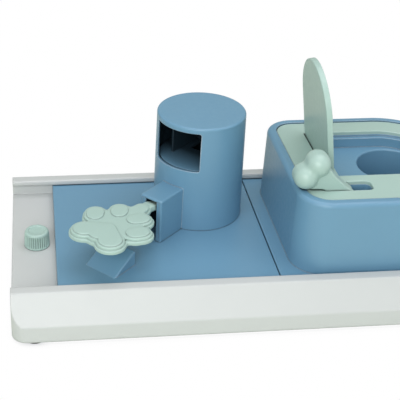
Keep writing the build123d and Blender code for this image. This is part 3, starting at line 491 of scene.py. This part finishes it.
def softly_joined(first, second, blend):
    """Smaller of two distances, with a round fillet about as large as the blend where they meet.

    The share of the first runs from 0 to 1 while the second outgrows it from minus to plus the blend. The
    distances are mixed by their shares, less the blend times the product of both shares.
    """
    share = np.clip(0.5 + 0.5 * (second - first) / blend, 0, 1)
    return second * (1 - share) + first * share - blend * share * (1 - share)


def limb(u, v, start, end, start_radius, end_radius):
    """Distance outside a limb: a segment whose radius changes evenly from its start to its end.

    It is the distance to the segment's nearest point, less the radius there.
    """
    run = np.subtract(end, start)
    share = np.clip(((u - start[0]) * run[0] + (v - start[1]) * run[1]) / (run @ run), 0, 1)
    gap = np.hypot(u - start[0] - share * run[0], v - start[1] - share * run[1])
    return gap - start_radius - share * (end_radius - start_radius)


def heel_gap(u, v):
    """Distance outside the heel pad: two limbs from its point to its lobes, with a web between the lobes."""
    left, right = (
        limb(u, v, heel_point, (heel_lobe[0], way * heel_lobe[1]), point_radius, lobe_radius)
        for way in (-1, 1)
    )
    web = limb(u, v, web_start, web_end, point_radius, web_radius)
    return softly_joined(np.minimum(left, right), web, web_blend)


def paw_gap(u, v):
    """Distance outside the four toes, the heel and the neck together, softly joined."""
    gap = heel_gap(u, v)
    for middle, lean in zip(toe_middles, toe_leans):
        step = (toe_half_length - toe_half_width) * np.array([math.cos(lean), math.sin(lean)])
        toe = limb(u, v, middle - step, middle + step, toe_half_width, toe_half_width)
        gap = softly_joined(gap, toe, paw_blend)
    neck = limb(u, v, neck_start, neck_end, neck_start_radius, neck_end_radius)
    return softly_joined(gap, neck, paw_blend)


def ring_at(gap, middle, level, turn, start=70.0, steps=90, stride=0.7):
    """Radius from the middle at which a distance function has the level, found by walking inwards.

    Each step is the stride times the distance that is left: the gap less the level.
    """
    radius = np.full(np.broadcast(level, turn).shape, start)
    for _ in range(steps):
        radius -= stride * (gap(middle[0] + radius * np.cos(turn), middle[1] + radius * np.sin(turn)) - level)
    return radius


# Plate of the paw: each row is a ring's distance outside the pads and its height, with two rounded
# steps. The top is flat, and two more rings that shrink towards the middle cover it.
plate_profile = np.array([
    (3.0, 0.0), (3.4, 0.12), (3.6, 0.5), (3.6, 2.4), (3.52, 2.8), (3.3, 3.1), (2.98, 3.33), (2.6, 3.4),
    (2.1, 3.4), (2.0, 3.5), (2.0, 4.9), (1.9, 5.3), (1.65, 5.58), (1.3, 5.7),
])
top_shares = np.array([[0.96], [0.4]])
turn = np.linspace(0, 2 * np.pi, 480, endpoint=False)
radius = ring_at(paw_gap, paw_middle, plate_profile[:, :1], turn)
radius = np.vstack([radius, radius[-1] * top_shares])
plate_height = np.append(plate_profile[:, 1], plate_profile[-1, 1] + 0 * top_shares)[:, None]
plate_rings = diagonal(
    paw_middle[0] + radius * np.cos(turn), paw_middle[1] + radius * np.sin(turn), paw_foot + plate_height
)

# Pads: low ovals and the heel, with a small round edge and a slight crown. Each row is the share
# of the outline that a ring has, and its height.
pad_profile = np.array([
    (1.0, 5.5), (1.0, 6.5), (0.985, 6.7), (0.955, 6.84), (0.91, 6.9), (0.6, 6.95), (0.25, 6.98),
])


def pad(middle, outline_u, outline_v):
    """Rings of a pad: its outline about the middle, times each row's share, at the row's height."""
    share, height = pad_profile[:, :1], pad_profile[:, 1:]
    return diagonal(middle[0] + share * outline_u, middle[1] + share * outline_v, paw_foot + height)


pads = []
oval_length, oval_width = squared(toe_half_length, toe_half_width, toe_squareness, count=96)
for middle, lean in zip(toe_middles, toe_leans):
    pads.append(pad(
        middle,
        oval_length * math.cos(lean) - oval_width * math.sin(lean),
        oval_length * math.sin(lean) + oval_width * math.cos(lean),
    ))
heel_radius = ring_at(heel_gap, heel_middle, np.zeros((1, 1)), turn)
pads.append(pad(heel_middle, heel_radius * np.cos(turn), heel_radius * np.sin(turn)))
paw = stacked("paw", plate_rings, *pads)
paw.data.materials.append(mint_plastic)
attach(paw, "pedal")
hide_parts("paw_plate")

# Arm: a rounded bar from the axle out through the slot and under the paw, with the pan behind.
pivot_up, pivot_along = plate_top + 31.2, 30.0
bar_squareness, spine_squareness, pan_squareness = 4, 6, 9


def rounded_bar(stations, power):
    """Rings of a bar along the diagonal, each a squared outline of the given power round one station.

    A station is (along, middle across, middle above the pivot, half width, half height).
    """
    rings = []
    for along, across, up, half_width, half_height in stations:
        wide, tall = squared(half_width, half_height, power)
        rings.append(diagonal(along, across + wide, pivot_up + up + tall))
    return np.stack(rings)


long_bar = rounded_bar([
    (29.2, 0, 0, 4.6, 2.6), (29.8, 0, 0, 5.5, 3.5), (46, 0, -0.4, 5.5, 3.5), (58, 0, -0.6, 5.5, 3.5),
    (64, 0, -0.1, 5.5, 3.5), (68, 0, 1.4, 5.5, 3.4), (71, 0, 2.7, 5.5, 3.4), (75, 0, 3.3, 5.5, 3.4),
    (82, 0, 3.0, 5.5, 3.4), (90, 0, 0.6, 8.0, 2.6), (107, 0, -0.2, 8.6, 2.0), (108, 0, -0.2, 7.6, 1.4),
], bar_squareness)
# Pan: a floor that rises to the back, a rim along each side and a wall across its back end. A
# spine joins it to the axle, and a tab behind it carries the spring.
pan_front, pan_back, pan_half, pan_wall, rim_half = 8, -24, 13, 2, 3.5
floor_front, floor_back = 1.0, 2.7
rim_front, rim_back = floor_front + rim_half - pan_wall / 2, floor_back + rim_half - pan_wall / 2
rim_across = pan_half - pan_wall / 2
pan_floor = rounded_bar([
    (pan_front, 0, floor_front, pan_half, pan_wall / 2), (pan_back, 0, floor_back, pan_half, pan_wall / 2),
], pan_squareness)
pan_rims = [
    rounded_bar([
        (pan_front, across, rim_front, pan_wall / 2, rim_half),
        (pan_back, across, rim_back, pan_wall / 2, rim_half),
    ], pan_squareness)
    for across in (-rim_across, rim_across)
]
pan_end = rounded_bar([
    (pan_back + pan_wall, 0, rim_back, pan_half, rim_half), (pan_back, 0, rim_back, pan_half, rim_half),
], pan_squareness)
spine = rounded_bar([(pivot_along, 0, 0, 2.5, 2), (pan_back, 0, 0, 2.5, 2)], spine_squareness)
spring_tab = rounded_bar([(pan_back + pan_wall, 0, 0, 5, 1), (-32, 0, 0, 5, 1)], pan_squareness)
# Boss round the axle: each row is a ring's radius and its place across.
boss_radius, boss_across = np.array([(1.56, -13), (4, -13), (4, 13), (1.56, 13)]).T[:, :, None]
boss_turn = np.linspace(0, 2 * np.pi, 48, endpoint=False)
boss = diagonal(
    pivot_along + boss_radius * np.cos(boss_turn), boss_across, pivot_up + boss_radius * np.sin(boss_turn)
)
arm = stacked("arm", long_bar, pan_floor, *pan_rims, pan_end, spine, spring_tab, boss)
arm.data.materials.append(mint_plastic)
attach(arm, "pedal")
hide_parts("pedal_arm")

# ---- lidded box -------------------------------------------------------------
# Blue plate and box in one moulding, with a blue insert that has the basin and the cup. The
# mint cover is let into the box's rim.
for name in ("lid_housing", "treat_tray"):
    finish_node(name, blue_plastic)
finish_node("ring_cover", mint_plastic)

# ---- lid with its bone lever ------------------------------------------------
# Mint flap and bone lever in one moulding, on a steel pin in the box's insert. The bone is a
# skin over the lever: two lobes on a bar that widens into the heel.
finish_node("lid_lever", mint_plastic)
hinge_x, lever_y, box_top = 57.0, -49.0, 102.4
upper_lobe, lower_lobe = (hinge_x - 26.2, box_top + 22.1), (hinge_x - 35.9, box_top + 10.5)
bar_edge, bar_half_width, lobe_blend, bar_blend = 1.8, 6.85, 3.5, 1.6
# Side of the bar: the (x, z) of each corner, from the lobes along the top, round the heel and back.
bar_outline = np.array([
    (27, 120), (33, 124.5), (42, 119.4), (46, 114.1), (50.5, 109.6), (56, 104.3), (64, 98.2), (63, 93.4),
    (50, 93.6), (40, 94.6), (37.6, 96.5), (37.4, 101.2), (35.2, 102.1), (26, 102.6), (20, 108),
])


def lobe_gap(x, y, z, lobe, radius=10.3, half_length=2.6):
    """Distance outside a lobe of the bone: a short rod across the lever with round ends.

    It is the distance to the rod's axis, which is half_length to each side, less the radius.
    """
    over = np.maximum(np.abs(y - lever_y) - half_length, 0)
    return np.sqrt((x - lobe[0]) ** 2 + over ** 2 + (z - lobe[1]) ** 2) - radius


def outline_gap(x, z, outline):
    """Distance outside a closed outline of straight edges, negative within it.

    It is the distance to the nearest edge, and a point is within if a level ray from it crosses an odd
    number of edges.
    """
    nearest = np.full(x.shape, np.inf)
    within = np.zeros(x.shape, bool)
    for (x0, z0), (x1, z1) in zip(outline, np.roll(outline, -1, axis=0)):
        run_x, run_z = x1 - x0, z1 - z0
        share = np.clip(((x - x0) * run_x + (z - z0) * run_z) / (run_x ** 2 + run_z ** 2), 0, 1)
        nearest = np.minimum(nearest, np.hypot(x - x0 - share * run_x, z - z0 - share * run_z))
        crosses = (z0 > z) != (z1 > z)
        within ^= crosses & (x < x0 + (z - z0) * run_x / run_z)
    return np.where(within, -nearest, nearest)


def bone_gap(x, y, z):
    """Distance outside the bone: two lobes and the bar with its rounded edges, softly joined.

    The bar is its outline and its half width, both drawn in by the edge's radius, and grown by it again.
    """
    flat = outline_gap(x, z, bar_outline) + bar_edge
    side = np.abs(y - lever_y) - bar_half_width + bar_edge
    outside = np.hypot(np.maximum(flat, 0), np.maximum(side, 0))
    within = np.minimum(np.maximum(flat, side), 0)
    bar = outside + within - bar_edge
    lobes = softly_joined(lobe_gap(x, y, z, upper_lobe), lobe_gap(x, y, z, lower_lobe), lobe_blend)
    return softly_joined(lobes, bar, bar_blend)


# Skin of the bone: rays square to its axis, fanned round over both ends, stop where they meet it.
axis_start, axis_end = np.array([27.5, lever_y, 117.5]), np.array([54.0, lever_y, 98.5])
axis = (axis_end - axis_start) / np.linalg.norm(axis_end - axis_start)
crosswise = np.array([0.0, 1.0, 0.0])
upright = np.cross(axis, crosswise)
pole_angle = 0.02
head_fan = np.linspace(pole_angle, math.pi / 2, 48)
heel_fan = np.linspace(math.pi / 2, math.pi - pole_angle, 32)
slide = np.linspace(0, 1, 66)[1:-1]
tilt = np.concatenate([head_fan, np.full(slide.size, math.pi / 2), heel_fan])[:, None, None]
share = np.concatenate([np.zeros(head_fan.size), slide, np.ones(heel_fan.size)])[:, None, None]
spin = np.linspace(0, 2 * np.pi, 144, endpoint=False)[None, :, None]
origin = axis_start + share * (axis_end - axis_start)
heading = np.sin(tilt) * (np.cos(spin) * upright + np.sin(spin) * crosswise) - np.cos(tilt) * axis
ray_start, ray_steps, ray_stride = 32.0, 80, 0.75
reach = np.full(heading.shape[:2] + (1,), ray_start)
for _ in range(ray_steps):
    place = origin + reach * heading
    reach -= ray_stride * bone_gap(place[..., 0], place[..., 1], place[..., 2])[..., None]
bone = stacked("bone", origin + reach * heading)
bone.data.materials.append(mint_plastic)
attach(bone, "lid")

low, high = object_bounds()
